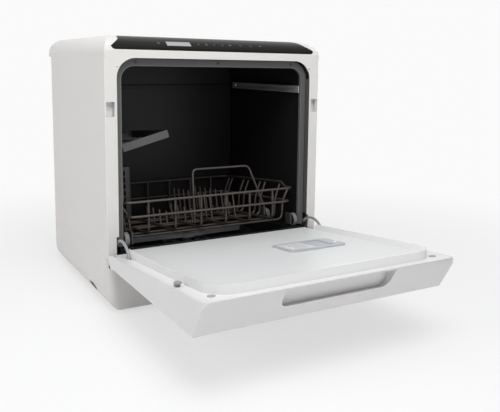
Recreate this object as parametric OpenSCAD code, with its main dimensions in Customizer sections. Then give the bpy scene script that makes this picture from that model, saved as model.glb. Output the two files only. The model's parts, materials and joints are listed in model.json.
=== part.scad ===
// Countertop dishwasher with a drop-down door and a pull-out rack.
// Front frame plane at y = 0 before the whole model is moved to its origin, +Z up.

/* [Cabinet] */
// Width over the side panels
body_w = 410; // [400:1:430]
// Height to the top of the cover
body_h = 460; // [450:1:480]
// Depth from the front frame to the rear panel
body_d = 372; // [372:1:400]
// Sheet thickness of the housing
sheet = 2.5; // [1.5:0.1:3]
// Height of the seam between the base and the side panels
base_h = 97; // [95:1:99]
// Height of the seam between the side panels and the top cover
side_top = 426; // [426:1:430]
// Radius of the top cover along its side edges
top_r = 28; // [16:1:30]
// Radius of the rear edges
rear_r = 20; // [12:1:24]
// Width of the white band under the control strip
band_h = 12; // [8:1:13]
// Depth of the curved front edge of the top cover
brow_d = 59; // [45:1:70]
// How far the lower sides tuck in
tuck_w = 22; // [10:1:26]
// Height over which the lower sides tuck in
tuck_h = 46; // [30:1:60]
// Height of the feet
foot_h = 6; // [4:1:10]

/* [Tub] */
// Half the width of the wash space
tub_half = 178; // [176:1:179]
// Depth of the wash space
tub_d = 308; // [300:1:312]
// Height of the ceiling of the wash space
tub_top = 415; // [412:1:416]
// Height of the tub floor
tub_floor = 70; // [68:1:72]
// Wall of the tub
tub_wall = 2.5; // [1.5:0.1:3]
// How far the lip of the tub stands behind the front plane
lip_setback = 8; // [7.5:0.5:10]
// Half the width of the front opening
open_half = 185; // [185:0.5:187]
// Height of the top of the front opening
open_top = 423; // [422:0.5:424]
// Corner radius of the front opening
open_r = 32; // [20:1:40]
// Depth at which the door seal lies
seal_y = 11.5; // [11.3:0.1:13]

/* [Door] */
// Length of the door from its hinge end to its tip
door_len = 364; // [355:1:366]
// Half the width of the door
door_half = 204.5; // [203:0.5:204.5]
// Angle that the open door keeps above the horizontal
door_rise = 5.6; // [4:0.1:6]
// Thickness of the door at its hinge end
door_root_t = 18.6; // [18:0.1:22]
// Thickness of the door at its tip
door_tip_t = 49.6; // [40:0.1:52]
// How far the end face leans in
door_lean = 37; // [25:1:45]
// Height of the raised rim of the liner
rim_h = 13; // [10:0.5:13]
// Height of the tray floor of the liner
tray_h = 5.6; // [4:0.1:6]
// Half the width of the handle recess
grip_half = 90; // [60:1:110]
// Depth of the handle recess into the end face
grip_d = 15; // [12:1:18]
// Radius of the hinge pins
pin_r = 2.5; // [2:0.1:2.8]

/* [Rack] */
// How far the rack runs out
rack_travel = 316; // [300:1:318]
// Half the width of the rack at its rim
rack_half = 168; // [160:1:168]
// Depth of the rack
rack_d = 287; // [270:1:290]
// Height of the rim over the door plane
rack_rim_h = 89; // [80:1:100]
// Height of the rack floor over the door plane
rack_floor_h = 19; // [18:1:22]
// Radius of the main wires
wire_r = 2.2; // [1.5:0.1:2.5]
// Radius of the wheels
wheel_r = 12.5; // [11:0.1:13]
// Width of the wheels
wheel_w = 8; // [6:0.5:9]
// Width of the folding cup shelf
shelf_w = 95; // [80:1:110]
// Length of the folding cup shelf
shelf_len = 190; // [150:1:200]
// Angle at which the shelf slopes when down
shelf_rise = 15; // [5:1:20]
// Height of the top rail of the fence
fence_h = 208; // [195:1:215]

/* [Spray] */
// Reach of the spray arm
arm_reach = 120; // [100:1:125]
// Thickness of the spray arm
arm_t = 7; // [6:0.5:8]
// Radius of the spray arm's bearing pin
arm_pin_r = 6; // [5:0.5:7]

/* [Connections] */
// Outer radius of the three-quarter inch water inlet
inlet_r = 13.2; // [12:0.1:14]
// Outer radius of the drain spigot
drain_r = 9.5; // [8:0.1:11]
// How far the connectors stand out of the rear panel
connector_len = 12; // [10:1:16]

/* [Hidden] */
$fn = 48;

eps = 0.01;
fit = 0.3;
run_fit = 0.06;
half_w = body_w / 2;
// Point where the inner plane of the open door meets its hinge end
door_y = -2;
door_z = 104;
// Hinge axis in the door's own plane: along the door and below its inner plane
hinge_s = 14.5;
hinge_h = -16;
hinge_y = door_y - hinge_s * cos(door_rise) + hinge_h * sin(door_rise);
hinge_z = door_z + hinge_s * sin(door_rise) + hinge_h * cos(door_rise);
door_tip_y = door_y - door_len * cos(door_rise);
rear_end = body_d + connector_len;
origin_shift = -(door_tip_y + rear_end) / 2;
front_gap = 4;
hinge_bracket_x = 197;
hinge_arm_x = 186;
hinge_arm_r = 39.5;
hinge_arm_half = 2;
hinge_plate_t = 3;
barrel_r = pin_r + 2.5;
latch_x = 196;
latch_s = 266;
latch_z = hinge_z + latch_s - hinge_s;
latch_w = 14;
latch_h = 24;
connector_z = 52;
spray_y = 150;
spray_z = tub_floor + 8.5;

function arc(cx, cy, r, from, to, n = 6) =
    [for (i = [0:n]) let (t = from + (to - from) * i / n) [cx + r * cos(t), cy + r * sin(t)]];
function round_rect(x0, y0, x1, y1, r, n = 6) = concat(
    arc(x1 - r, y1 - r, r, 0, 90, n), arc(x0 + r, y1 - r, r, 90, 180, n),
    arc(x0 + r, y0 + r, r, 180, 270, n), arc(x1 - r, y0 + r, r, 270, 360, n));
// Outline of an arch that is open at its foot
function arch(half, foot, top, r, n = 8) = concat(
    [[half, foot]], arc(half - r, top - r, r, 0, 90, n), arc(r - half, top - r, r, 90, 180, n),
    [[-half, foot]]);
// Path through corner points with a round bend at each inner one
function unit(v) = v / norm(v);
function bend(a, b, c, r, n = 3) =
    let (u = unit(a - b), v = unit(c - b), p = b + u * r, q = b + v * r)
    [for (i = [0:n]) let (t = i / n) (1 - t) * (1 - t) * p + 2 * t * (1 - t) * b + t * t * q];
function bent_path(p, r, n = 3) = concat([p[0]],
    [for (i = [1:len(p) - 2]) each bend(p[i - 1], p[i], p[i + 1], r, n)], [p[len(p) - 1]]);

module placed() {
    translate([0, origin_shift, 0]) children();
}
// Frame of the open door: -y runs along it away from the hinge, +z leaves its inner plane
module in_door() {
    placed() translate([0, door_y, door_z]) rotate([-door_rise, 0, 0]) children();
}
module in_rack() {
    in_door() translate([0, rack_travel, 0]) children();
}
// Outline in x and z, running back along y
module along_y(y0, y1, pts) {
    translate([0, y1, 0]) rotate([90, 0, 0]) linear_extrude(y1 - y0) polygon(pts);
}
// Outline in y and z, running across along x
module along_x(x0, x1, pts) {
    translate([x0, 0, 0]) rotate([90, 0, 90]) linear_extrude(x1 - x0) polygon(pts);
}
module along_z(z0, z1, pts) {
    translate([0, 0, z0]) linear_extrude(z1 - z0) polygon(pts);
}
module block(x0, x1, y0, y1, z0, z1) {
    translate([x0, y0, z0]) cube([x1 - x0, y1 - y0, z1 - z0]);
}
module rod_x(x0, x1, y, z, r) {
    translate([x0, y, z]) rotate([0, 90, 0]) cylinder(h = x1 - x0, r = r);
}
module rod_y(x, y0, y1, z, r) {
    translate([x, y1, z]) rotate([90, 0, 0]) cylinder(h = y1 - y0, r = r);
}
module wire(pts, r = wire_r) {
    for (i = [0:len(pts) - 2])
        hull() {
            translate(pts[i]) sphere(r = r, $fn = 6);
            translate(pts[i + 1]) sphere(r = r, $fn = 6);
        }
}
module both_sides() {
    children();
    mirror([1, 0, 0]) children();
}

// ---- Housing ----
base_corner_r = 18;
grip_hole_y = 105;
grip_hole_z = foot_h + 16;
band_top = open_top + band_h;
brow_h = body_h - band_top;
seam_drop = 18;
seam_in = 23;
vent_count = 14;
vent_pitch = 12;
vent_w = 4;
tub_foot_cut = 74;

// Section of the base across its width, pulled in by i
function boat(i, top) = let (side = [for (t = [0:15:90])
        [half_w - i - tuck_w * (1 - sin(t)), foot_h + i + tuck_h * (1 - cos(t))]])
    concat(side, [[half_w - i, top], [-half_w + i, top]],
        [for (k = [len(side) - 1:-1:0]) [-side[k][0], side[k][1]]]);
function footprint(i, front, r) = concat(
    arc(half_w - rear_r, body_d - rear_r, rear_r - i, 0, 90),
    arc(rear_r - half_w, body_d - rear_r, rear_r - i, 90, 180),
    arc(r - half_w, front + r, r - i, 180, 270), arc(half_w - r, front + r, r - i, 270, 360));

module base_tray() {
    heel = 30;
    heel_h = 22;
    color("gainsboro") placed() difference() {
        intersection() {
            along_y(0, body_d, boat(0, base_h));
            along_z(0, base_h, footprint(0, front_gap, base_corner_r));
            along_x(-half_w, half_w, [[0, 0], [body_d / 2, 0], [body_d - heel, heel_h / 4],
                [body_d, heel_h], [body_d, base_h], [0, base_h]]);
        }
        intersection() {
            along_y(0, body_d, boat(sheet, base_h + 1));
            along_z(0, base_h + 1, footprint(sheet, front_gap, base_corner_r));
            along_x(-half_w, half_w, [[0, sheet], [body_d / 2, sheet],
                [body_d - heel, heel_h / 4 + sheet], [body_d, heel_h + 2 * sheet],
                [body_d, base_h + 1], [0, base_h + 1]]);
        }
        // Room in the front wall for the lip of the tub and the swing of the door liner
        block(-tub_half - sheet, tub_half + sheet, 0, front_gap + sheet + 1, tub_foot_cut, base_h + 1);
        both_sides() {
            block(hinge_bracket_x - hinge_plate_t, hinge_bracket_x + hinge_plate_t,
                0, base_corner_r, hinge_z - barrel_r - 6, base_h + 1);
            translate([half_w - tuck_w, grip_hole_y, grip_hole_z]) rotate([0, 90, 0])
                linear_extrude(tuck_w) polygon([for (t = [0:20:340]) [7 * cos(t), 22 * sin(t)]]);
        }
    }
}
foot_r = 11;
foot_inset_x = 40;
foot_y = [38, body_d - 60];
module feet() {
    color("dimgray") placed() for (y = foot_y) both_sides()
        translate([half_w - foot_inset_x, y, 0]) {
            cylinder(h = foot_h * 0.6, r1 = foot_r - 2, r2 = foot_r);
            translate([0, 0, foot_h * 0.6]) cylinder(h = foot_h * 0.4, r = foot_r);
        }
}
side_section = concat([[open_half, 0]], arc(half_w - sheet, sheet, sheet, 270, 360, 4),
    arc(half_w - rear_r, body_d - rear_r, rear_r, 0, 90),
    [for (k = [6:-1:0]) let (t = k * 15) [half_w - rear_r + (rear_r - sheet) * cos(t),
        body_d - rear_r + (rear_r - sheet) * sin(t)]],
    [[half_w - sheet, sheet], [open_half, sheet]]);
seal_t = 5;
return_d = seal_y + seal_t;
return_foot = 134;
return_t = 1.8;
module right_panel_shape() {
    difference() {
        union() {
            along_z(base_h, side_top, side_section);
            block(open_half, open_half + return_t, sheet / 2, return_d, return_foot, open_top - open_r);
            block(open_half - 6, open_half + 1, 0, sheet, open_top - open_r, side_top - seam_drop);
        }
        along_y(-1, sheet + 1, arch(open_half, 0, open_top, open_r));
        // Diagonal seam to the top cover
        along_y(-1, sheet + eps, [[half_w + 1, side_top + 0.8], [half_w - seam_in, side_top - seam_drop],
            [open_half - open_r, side_top - seam_drop], [open_half - open_r, side_top + 1],
            [half_w + 1, side_top + 1]]);
        // Hole for the latch hook and notch for the hinge arm
        block(latch_x - latch_w / 2, latch_x + latch_w / 2, -1, sheet + 1,
            latch_z - latch_h / 2, latch_z + latch_h / 2);
        block(open_half - 1, hinge_arm_x + hinge_plate_t, -1, sheet + 1, base_h - 1, return_foot - 2);
        block(hinge_bracket_x - hinge_plate_t, hinge_bracket_x + hinge_plate_t, -1, sheet + 1,
            base_h - 1, hinge_z + barrel_r + 6);
    }
}
module left_side_panel() {
    color("gainsboro") placed() mirror([1, 0, 0]) right_panel_shape();
}
module right_side_panel() {
    color("gainsboro") placed() right_panel_shape();
}
function cover_outline(i) = concat([[half_w - i, side_top - seam_drop]],
    arc(half_w - top_r, body_h - top_r, top_r - i, 0, 90),
    arc(top_r - half_w, body_h - top_r, top_r - i, 90, 180), [[i - half_w, side_top - seam_drop]]);
function brow(i, from, to, n = 8) = [for (k = [0:n]) let (t = from + (to - from) * k / n)
    [brow_d - (brow_d - i) * cos(t), band_top + (brow_h - i) * sin(t)]];
function cover_section(i) = concat([[i, side_top - i]], brow(i, 0, 90),
    [for (k = [6:-1:0]) let (t = k * 15) [body_d - rear_r + (rear_r - i) * cos(t),
        body_h - rear_r + (rear_r - i) * sin(t)]], [[body_d - i, side_top - i]]);
strip_bottom_half = half_w - 12;
strip_top_half = half_w - 28;
strip_from = 3;
strip_to = 76;
strip_t = 1.2;
strip_fit = 0.05;
// Space of the control strip in the curved front edge, from depth t out to depth out
module strip_space(t, out, grow) {
    z0 = band_top + brow_h * sin(strip_from) - grow;
    z1 = band_top + brow_h * sin(strip_to) + grow;
    intersection() {
        along_x(-strip_bottom_half - grow, strip_bottom_half + grow,
            concat(brow(out, strip_from - grow, strip_to + grow),
                [for (k = [8:-1:0]) brow(t, strip_from - grow, strip_to + grow)[k]]));
        along_y(-3, brow_d, concat(
            arc(strip_bottom_half - 7, z0 + 7, 7 + grow, 270, 350, 4),
            arc(strip_top_half - 9, z1 - 9, 9 + grow, 20, 90, 4),
            arc(9 - strip_top_half, z1 - 9, 9 + grow, 90, 160, 4),
            arc(7 - strip_bottom_half, z0 + 7, 7 + grow, 190, 270, 4)));
    }
}
module top_cover() {
    color("gainsboro") placed() difference() {
        union() {
            difference() {
                intersection() {
                    along_y(0, body_d, cover_outline(0));
                    along_x(-half_w, half_w, cover_section(0));
                }
                intersection() {
                    along_y(0, body_d, cover_outline(sheet));
                    along_x(-half_w, half_w, cover_section(sheet));
                }
            }
            // Face above the opening down to the diagonal seams
            along_y(0, sheet, concat([[half_w - seam_in + 0.4, side_top - seam_drop], [half_w - 0.4, side_top],
                [half_w - 0.4, side_top + eps], [0.4 - half_w, side_top + eps], [0.4 - half_w, side_top],
                [seam_in - half_w - 0.4, side_top - seam_drop]]));
        }
        along_y(-1, sheet + 1, arch(open_half, 0, open_top, open_r));
        strip_space(strip_t, -2, strip_fit);
    }
}
window_x0 = -97;
window_x1 = -54;
window_t = 0.5;
window_from = 22;
window_to = 40;
module window_space(out, grow) {
    along_x(window_x0 - grow, window_x1 + grow, concat(brow(out, window_from - grow, window_to + grow),
        [for (k = [8:-1:0]) brow(window_t + grow, window_from - grow, window_to + grow)[k]]));
}
module control_panel() {
    color("black") placed() difference() {
        strip_space(strip_t - strip_fit, 0, 0);
        window_space(-2, strip_fit);
    }
}
module display_window() {
    color("darkslategray") placed() window_space(0, 0);
}
rear_panel_half = half_w - rear_r - fit;
inlet_x = 150;
drain_x = 110;
cord_x = -140;
connector_up = 38;
port_z = base_h + connector_up;
gland_r = 9;
// The connectors are thinner where they pass the panel
inlet_neck_r = inlet_r - 1.2;
drain_neck_r = drain_r - 1;
module rear_panel() {
    color("silver") placed() difference() {
        block(-rear_panel_half, rear_panel_half, body_d - sheet, body_d, base_h, side_top);
        for (i = [0:vent_count - 1])
            block((i - vent_count / 2) * vent_pitch, (i - vent_count / 2) * vent_pitch + vent_w,
                body_d - sheet - 1, body_d + 1, side_top - 60, side_top - 22);
        rod_y(inlet_x, body_d - sheet - 1, body_d + 1, port_z, inlet_neck_r + run_fit);
        rod_y(drain_x, body_d - sheet - 1, body_d + 1, port_z, drain_neck_r + run_fit);
        rod_y(cord_x, body_d - sheet - 1, body_d + 1, port_z, gland_r + run_fit);
        for (x = [-rear_panel_half + 12, rear_panel_half - 12], z = [base_h + 14, side_top - 14])
            rod_y(x, body_d - sheet - 1, body_d + 1, z, 2);
    }
}
module inlet_valve() {
    color("lightgray") placed() difference() {
        union() {
            rod_y(inlet_x, body_d - sheet - 10, body_d + 1, port_z, inlet_neck_r);
            rod_y(inlet_x, body_d + 1, body_d + connector_len, port_z, inlet_r);
            block(inlet_x - 20, inlet_x + 20, body_d - sheet - 34, body_d - sheet, port_z - 20, port_z + 20);
        }
        rod_y(inlet_x, body_d, body_d + connector_len + 1, port_z, inlet_r * 0.7);
    }
}
module drain_connector() {
    color("dimgray") placed() difference() {
        union() {
            rod_y(drain_x, body_d - sheet - 20, body_d + 1, port_z, drain_neck_r);
            rod_y(drain_x, body_d + 1, body_d + connector_len, port_z, drain_r);
            rod_y(drain_x, body_d - sheet - 6, body_d - sheet, port_z, drain_r + 4);
        }
        rod_y(drain_x, body_d - sheet - 21, body_d + connector_len + 1, port_z, drain_r * 0.72);
    }
}
module cord_inlet() {
    color("dimgray") placed() difference() {
        union() {
            rod_y(cord_x, body_d - sheet - 6, body_d + 2, port_z, gland_r);
            rod_y(cord_x, body_d, body_d + 4, port_z, gland_r + 3);
            rod_y(cord_x, body_d - sheet - 9, body_d - sheet, port_z, gland_r + 3);
        }
        rod_y(cord_x, body_d - sheet - 10, body_d + 5, port_z, 3.6);
    }
}

// ---- Wash space ----
lip_top = door_z + tray_h - lip_setback * sin(door_rise) - 1.2;
flange_half = hinge_arm_x - hinge_plate_t / 2 - 0.6;
flange_t = 2.5;
seal_in = 8.5;
seal_foot = 112;
runner_in = 155;
sump_r = 50;
function tray_z(y) = door_z + tray_h / cos(door_rise) - (y - door_y) * tan(door_rise);
module tub() {
    back = tub_d + tub_wall;
    color([0.16, 0.17, 0.18]) placed() difference() {
        union() {
            along_y(lip_setback, back, concat(arch(tub_half + tub_wall, tub_floor - tub_wall, tub_top + tub_wall,
                open_r)));
            // Flange that carries the door seal
            along_y(seal_y + seal_t, seal_y + seal_t + flange_t,
                arch(flange_half, seal_foot, open_top - 0.6, open_r));
            along_y(seal_y + seal_t, seal_y + seal_t + flange_t,
                arch(open_half + return_t, return_foot, open_top, open_r));
        }
        difference() {
            union() {
                along_y(lip_setback + tub_wall, tub_d, arch(tub_half, tub_floor, tub_top, open_r - tub_wall));
                along_y(lip_setback - 1, lip_setback + tub_wall + 1,
                    arch(tub_half, lip_top, tub_top, open_r - tub_wall));
            }
            // Ledges on which the rack's wheels run
            both_sides() along_x(runner_in, tub_half + 1, [[0, tub_floor - 1],
                [tub_d - 12, tub_floor - 1], [tub_d - 12, tray_z(tub_d - 12)], [0, tray_z(0)]]);
            // Ledge across the back wall
            block(-tub_half + 12, tub_half - 12, tub_d - 8, tub_d + 1, tub_top - 51, tub_top - 45);
        }
        translate([0, spray_y, tub_floor - tub_wall - 1]) cylinder(h = tub_wall + 2, r = sump_r + 0.1);
        along_y(lip_setback - 1, seal_y + seal_t, arch(half_w, seal_foot, body_h, open_r));
    }
}
screw_x = 150;
screw_z = open_top - 6;
screw_r = 3;
screw_sink = 1.6;
module door_seal() {
    color("black") placed() difference() {
        along_y(seal_y, seal_y + seal_t, arch(flange_half, seal_foot, open_top - 0.6, open_r));
        along_y(seal_y - 1, seal_y + seal_t + 1,
            arch(flange_half - seal_in, seal_foot - 1, open_top - 0.6 - seal_in - 2, open_r - seal_in));
        for (x = [-screw_x, 0, screw_x])
            rod_y(x, seal_y - 1, seal_y + screw_sink, screw_z, screw_r);
    }
}
trim_w = 1.8;
module seal_retainer() {
    outer = flange_half - seal_in - eps;
    top = open_top - 0.6 - seal_in - 2 - eps;
    color("silver") placed() difference() {
        along_y(seal_y + 1, seal_y + seal_t + flange_t, arch(outer, seal_foot, top, open_r - seal_in));
        along_y(seal_y, seal_y + seal_t + flange_t + 1,
            arch(outer - trim_w, seal_foot - 1, top - trim_w, open_r - seal_in - trim_w));
    }
}
module seal_screws() {
    color("dimgray") placed() for (x = [-screw_x, 0, screw_x])
        rod_y(x, seal_y - 0.2, seal_y + screw_sink, screw_z, screw_r);
}
rail_y0 = 19.3;
rail_y1 = 287;
rail_z0 = 364;
rail_hgt = 13;
rail_t = 5;
module right_rail_shape() {
    difference() {
        block(tub_half - rail_t, tub_half, rail_y0, rail_y1, rail_z0, rail_z0 + rail_hgt);
        block(tub_half - rail_t - 1, tub_half - rail_t + 2.2, rail_y0 + 14, rail_y1 - 14,
            rail_z0 + 3.5, rail_z0 + rail_hgt - 3.5);
    }
}
module left_rail() {
    color("lightgray") placed() mirror([1, 0, 0]) right_rail_shape();
}
module right_rail() {
    color("lightgray") placed() right_rail_shape();
}
sump_h = 46;
filter_r = 36;
filter_cup_r = 20;
module sump() {
    color("dimgray") placed() translate([0, spray_y, 0]) difference() {
        union() {
            translate([0, 0, tub_floor - sump_h]) cylinder(h = sump_h, r = sump_r);
            translate([0, 0, foot_h + sheet]) for (a = [45:90:315])
                rotate(a) translate([sump_r - 8, 0, 0]) cylinder(h = tub_floor - sump_h - foot_h, r = 5);
        }
        translate([0, 0, tub_floor - sump_h + 2.5]) cylinder(h = sump_h, r = sump_r - 2.5);
    }
}
module filter_plate() {
    color("silver") placed() translate([0, spray_y, tub_floor - 2]) difference() {
        cylinder(h = 2, r = sump_r - 2.5 - run_fit);
        for (a = [0:30:330]) rotate(a) translate([filter_r, 0, -1]) cylinder(h = 4, r = 5);
        translate([0, 0, -1]) cylinder(h = 4, r = filter_cup_r + run_fit);
    }
}
module filter_cylinder() {
    color("gray") placed() translate([0, spray_y, tub_floor - 32]) difference() {
        cylinder(h = 32, r = filter_cup_r);
        translate([0, 0, 2]) cylinder(h = 31, r = filter_cup_r - 2);
        for (a = [0:45:135], z = [8, 20]) rotate(a) translate([0, 0, z])
            rotate([90, 0, 0]) cylinder(h = 2 * filter_cup_r + 2, r = 3.5, center = true);
    }
}
hub_r = 12;
module spray_hub() {
    color("dimgray") placed() translate([0, spray_y, 0]) {
        translate([0, 0, tub_floor - 30]) cylinder(h = spray_z - tub_floor + 30 - fit, r = hub_r);
        translate([0, 0, spray_z - 1]) cylinder(h = arm_t + 1 + fit, r = arm_pin_r);
        translate([0, 0, spray_z + arm_t + fit]) cylinder(h = 2, r = arm_pin_r + 3);
    }
}
arm_w = 30;
module spray_arm() {
    color("darkgray") placed() translate([0, spray_y, spray_z]) difference() {
        union() {
            for (side = [0, 180]) rotate(side) linear_extrude(arm_t) polygon(concat(
                arc(arm_reach - 9, 0, 9, -80, 80, 8),
                [for (k = [0:8]) let (u = k / 8) [(arm_reach - 9) * (1 - u), 9 + (arm_w / 2 - 9) * u * u]],
                [for (k = [8:-1:0]) let (u = k / 8) [(arm_reach - 9) * (1 - u),
                    -9 - (arm_w / 2 - 9) * u * u]]));
            cylinder(h = arm_t, r = arm_w / 2 + 4);
        }
        translate([0, 0, -1]) cylinder(h = arm_t + 2, r = arm_pin_r + run_fit);
        for (side = [0, 180], x = [38:18:104]) rotate(side) translate([x, 2, arm_t - 1.5])
            cylinder(h = 2, r = 1.8);
    }
}
pump_x = 95;
pump_y = 120;
pump_r = 26;
module wash_pump() {
    z = foot_h + sheet + pump_r;
    color("darkgray") placed() {
        rod_x(pump_x - 30, pump_x + 26, pump_y, z, pump_r);
        rod_x(pump_x - 42, pump_x - 30, pump_y, z, pump_r * 0.6);
        rod_x(pump_x + 26, pump_x + 44, pump_y, z, pump_r * 0.8);
    }
}
module drain_pump() {
    z = foot_h + sheet + 18;
    color("gray") placed() {
        rod_x(-120, -84, pump_y, z, 18);
        rod_x(-84, -sump_r - 4, pump_y, z, 9);
    }
}
module heater() {
    color("silver") placed() translate([pump_x - 10, pump_y + 62, foot_h + sheet]) {
        cylinder(h = 48, r = 16);
        translate([0, 0, 48]) cylinder(h = 6, r = 5);
    }
}
module water_tank() {
    color("whitesmoke") placed() difference() {
        block(-165, 70, tub_d + tub_wall, body_d - sheet - 8, port_z + 24, tub_top - 40);
        block(-163, 68, tub_d + tub_wall + 2, body_d - sheet - 10, port_z + 26, tub_top - 42);
    }
}
module control_board() {
    color("darkgreen") placed() {
        block(-90, 70, 90, 190, tub_top + tub_wall + 4, tub_top + tub_wall + 5.6);
        for (x = [-84, 64], y = [96, 184])
            translate([x, y, tub_top + tub_wall]) cylinder(h = 4, r = 3);
        for (x = [-60:30:40])
            block(x, x + 16, 110, 130, tub_top + tub_wall + 5.6, tub_top + tub_wall + 16);
    }
}
catch_d = 11;
module door_catches() {
    color("dimgray") placed() both_sides() difference() {
        block(latch_x - latch_w / 2 - 1.9, half_w - sheet, sheet, sheet + catch_d,
            latch_z - latch_h / 2 - 3, latch_z + latch_h / 2 + 3);
        block(latch_x - latch_w / 2, latch_x + 5.5, sheet - 1, sheet + catch_d - 3,
            latch_z - latch_h / 2, latch_z + latch_h / 2);
    }
}
bracket_tail_y = 34;
module hinge_brackets() {
    color("silver") placed() both_sides() difference() {
        union() {
            rod_x(hinge_bracket_x - hinge_plate_t / 2, hinge_bracket_x + hinge_plate_t / 2,
                hinge_y, hinge_z, barrel_r);
            block(hinge_bracket_x - hinge_plate_t / 2, hinge_bracket_x + hinge_plate_t / 2,
                hinge_y, bracket_tail_y, hinge_z - barrel_r, hinge_z + barrel_r);
            block(hinge_bracket_x - hinge_plate_t / 2, half_w - sheet, base_corner_r + 2, bracket_tail_y,
                hinge_z - barrel_r, hinge_z - barrel_r + hinge_plate_t);
        }
        rod_x(0, half_w, hinge_y, hinge_z, pin_r);
    }
}
pin_half_len = 4.5;
module hinge_pins() {
    color("dimgray") placed() both_sides()
        rod_x(hinge_bracket_x - pin_half_len, hinge_bracket_x + pin_half_len, hinge_y, hinge_z, pin_r);
}

// ---- Door ----
root_curve = 12;
nose_r = 6;
door_wall = 2.5;
door_corner_r = 12;
liner_t = 2;
end_slope = door_lean / door_tip_t;
end_thick = 1 / cos(atan(end_slope));
// Face of the leaning end at height z, moved in by d
function end_y(z, d) = d * end_thick - door_len - z * end_slope;
// Side view of the door in its own frame, pulled in by i and cut off at height top
function door_side(i, top) = concat([[-nose_r, top]],
    [for (t = [90:-15:0]) [(nose_r - i) * cos(t) - nose_r, (nose_r - i) * sin(t) - nose_r]],
    [for (t = [15:15:90]) [(root_curve - i) * cos(t) - root_curve,
        -nose_r - (door_root_t - nose_r - i) * sin(t)]],
    [[end_y(i - door_tip_t, i), i - door_tip_t], [end_y(top, i), top]]);
function door_plan(i) = let (c = door_half - door_corner_r, y = door_corner_r - door_len, r = door_corner_r - i)
    concat([[door_half - i, 1]], arc(c, y, r, 0, -90), arc(-c, y, r, -90, -180), [[i - door_half, 1]]);
grip_h = 29;
grip_r = 12;
grip_lip = 2.5;
module grip_space(grow) {
    intersection() {
        along_y(-door_len - 1, 0, concat([[grip_half + grow, -grip_lip]],
            arc(grip_half - grip_r, grip_r - grip_h, grip_r + grow, 0, -90),
            arc(grip_r - grip_half, grip_r - grip_h, grip_r + grow, -90, -180),
            [[-grip_half - grow, -grip_lip]]));
        along_x(-door_half, door_half, [[end_y(0, -5), 0], [end_y(-grip_h - grow, -5), -grip_h - grow],
            [end_y(-grip_h - grow, grip_d / 2 + grow), -grip_h - grow], [end_y(0, grip_d + grow), 0]]);
    }
}
bracket_slot = hinge_plate_t / 2 + 0.7;
module door_body() {
    intersection() {
        along_x(-door_half, door_half, door_side(0, 0));
        along_z(-door_tip_t - 1, 1, door_plan(0));
    }
}
module door_outer() {
    color("gainsboro") in_door() difference() {
        union() {
            difference() {
                door_body();
                difference() {
                    intersection() {
                        along_x(-door_half, door_half, door_side(door_wall, 1));
                        along_z(-door_tip_t - 1, 2, door_plan(door_wall));
                    }
                    grip_space(door_wall);
                }
            }
            // Barrels of the hinge on both sides of the bracket
            both_sides() {
                rod_x(hinge_bracket_x + bracket_slot, door_half - eps, -hinge_s, hinge_h, barrel_r);
                rod_x(hinge_bracket_x - bracket_slot - 5, hinge_bracket_x - bracket_slot,
                    -hinge_s, hinge_h, barrel_r);
                block(hinge_bracket_x - bracket_slot - 5, hinge_bracket_x - bracket_slot,
                    -hinge_s - barrel_r, -hinge_s + barrel_r, hinge_h - door_wall, -liner_t - fit);
            }
        }
        grip_space(0);
        both_sides() {
            rod_x(hinge_bracket_x - pin_half_len - 0.2, hinge_bracket_x + pin_half_len + 0.2,
                -hinge_s, hinge_h, pin_r + run_fit);
            // Slot that the bracket swings through
            block(hinge_bracket_x - bracket_slot, hinge_bracket_x + bracket_slot,
                -hinge_s - barrel_r - 2, 2, hinge_h - barrel_r - 2, 1);
        }
    }
}
rim_half = 184;
rim_top_half = 183;
rim_s = 347.5;
rim_r = 40;
rim_w = 2;
rim_foot_s = 38;
tray_half = 174;
tray_s = 320;
tray_from = 8;
tray_r = 32;
function tray_outline(half, s0, s1, r) = concat([[half, -s0]], arc(half - r, r - s1, r, 0, -90, 8),
    arc(r - half, r - s1, r, -90, -180, 8), [[-half, -s0]]);
frame_slot_s0 = 38;
frame_slot_s1 = 60;
plug_s = 337;
plug_x = 182;
plug_r = 5.5;
module door_liner() {
    color("whitesmoke") in_door() difference() {
        union() {
            intersection() {
                along_z(-liner_t, 0, door_plan(door_wall + fit));
                along_x(-door_half, door_half, [[-nose_r - 1, -5], [-nose_r - 1, 1], [end_y(1, door_wall + fit), 1],
                    [end_y(-5, door_wall + fit), -5]]);
            }
            difference() {
                along_z(0, rim_h, tray_outline(rim_half, rim_foot_s, rim_s, rim_r));
                hull() {
                    along_z(tray_h, tray_h + eps, tray_outline(tray_half, 0, tray_s, tray_r));
                    along_z(rim_h + 1, rim_h + 1 + eps, tray_outline(rim_top_half - rim_w, 0, rim_s - rim_w, rim_r));
                }
            }
        }
        // Opening for the tray panel
        along_z(-liner_t - 1, rim_h, tray_outline(tray_half, tray_from, tray_s, tray_r));
        both_sides() {
            block(hinge_arm_x - hinge_plate_t / 2 - 0.7, hinge_arm_x + hinge_plate_t / 2 + 0.7,
                -frame_slot_s1, -frame_slot_s0, -liner_t - 1, 1);
            block(hinge_bracket_x - bracket_slot, hinge_bracket_x + bracket_slot,
                -hinge_s - barrel_r - 2, 2, -liner_t - 1, 1);
            translate([plug_x, -plug_s, -liner_t - 1]) cylinder(h = liner_t + 2, r = plug_r - 1);
        }
    }
}
module door_tray() {
    color("lightsteelblue") in_door() difference() {
        along_z(-liner_t, tray_h, tray_outline(tray_half - run_fit, tray_from + run_fit, tray_s - run_fit,
            tray_r - run_fit));
        dispenser_hole();
    }
}
hook_h = 7;
module latch_hooks() {
    color("silver") in_door() both_sides() {
        block(latch_x - 4, latch_x + 4, -latch_s - 2, -latch_s + 3, 0, hook_h);
        block(latch_x - 4, latch_x + 4, -latch_s - 7, -latch_s + 3, hook_h - 3, hook_h);
    }
}
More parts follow.
